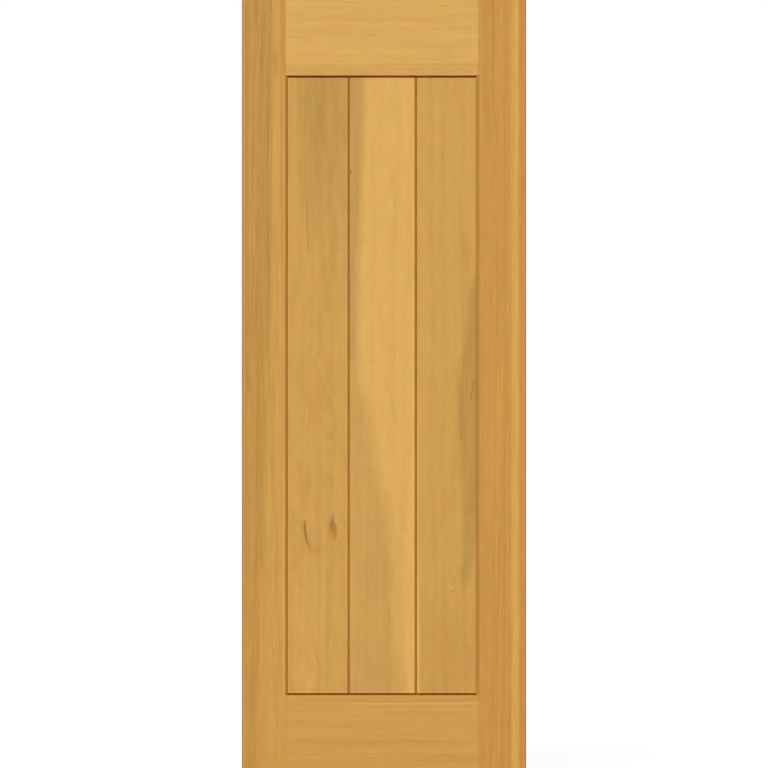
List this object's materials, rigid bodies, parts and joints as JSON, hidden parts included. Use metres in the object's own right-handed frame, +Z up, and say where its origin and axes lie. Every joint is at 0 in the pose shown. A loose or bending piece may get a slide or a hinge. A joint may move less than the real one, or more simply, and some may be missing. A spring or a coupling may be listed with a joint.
{
  "type": "framed plank door leaf",
  "caption": "Tall wooden door leaf: stiles and rails around upright tongued planks with bevelled joints, hung on butt hinges along one edge so that it swings.",
  "frame": {"origin": "middle of the leaf's bottom edge, half way through its thickness", "axes": "+Z up the leaf, +X towards the lock stile, +Y towards the back, where the hinge barrels are"},
  "size_m": [0.7114, 0.0486, 2.032],
  "materials": {
    "stile_wood": "satin clear coat",
    "rail_wood": "satin clear coat",
    "plank_wood": "satin clear coat",
    "dowel_wood": "bare",
    "hinge_steel": "satin",
    "screw_steel": "satin"
  },
  "bodies": {
    "hinge_plates": {"top_hinge_frame_leaf": "hinge_steel", "middle_hinge_frame_leaf": "hinge_steel", "bottom_hinge_frame_leaf": "hinge_steel", "top_hinge_pin": "hinge_steel", "middle_hinge_pin": "hinge_steel", "bottom_hinge_pin": "hinge_steel"},
    "door": {"hinge_stile": "stile_wood", "lock_stile": "stile_wood", "top_rail": "rail_wood", "bottom_rail": "rail_wood", "plank_left": "plank_wood", "plank_middle": "plank_wood", "plank_right": "plank_wood", "top_left_dowels": "dowel_wood", "top_right_dowels": "dowel_wood", "bottom_left_dowels": "dowel_wood", "bottom_right_dowels": "dowel_wood", "top_hinge_door_leaf": "hinge_steel", "middle_hinge_door_leaf": "hinge_steel", "bottom_hinge_door_leaf": "hinge_steel", "top_hinge_screws": "screw_steel", "middle_hinge_screws": "screw_steel", "bottom_hinge_screws": "screw_steel"}
  },
  "joints": [
    {"name": "door_swing", "type": "hinge", "parent": "hinge_plates", "child": "door", "pos_m": [-0.34925, 0.02455, 1.0665], "axis": [0, 0, 1], "range_deg": [0, 180]}
  ]
}
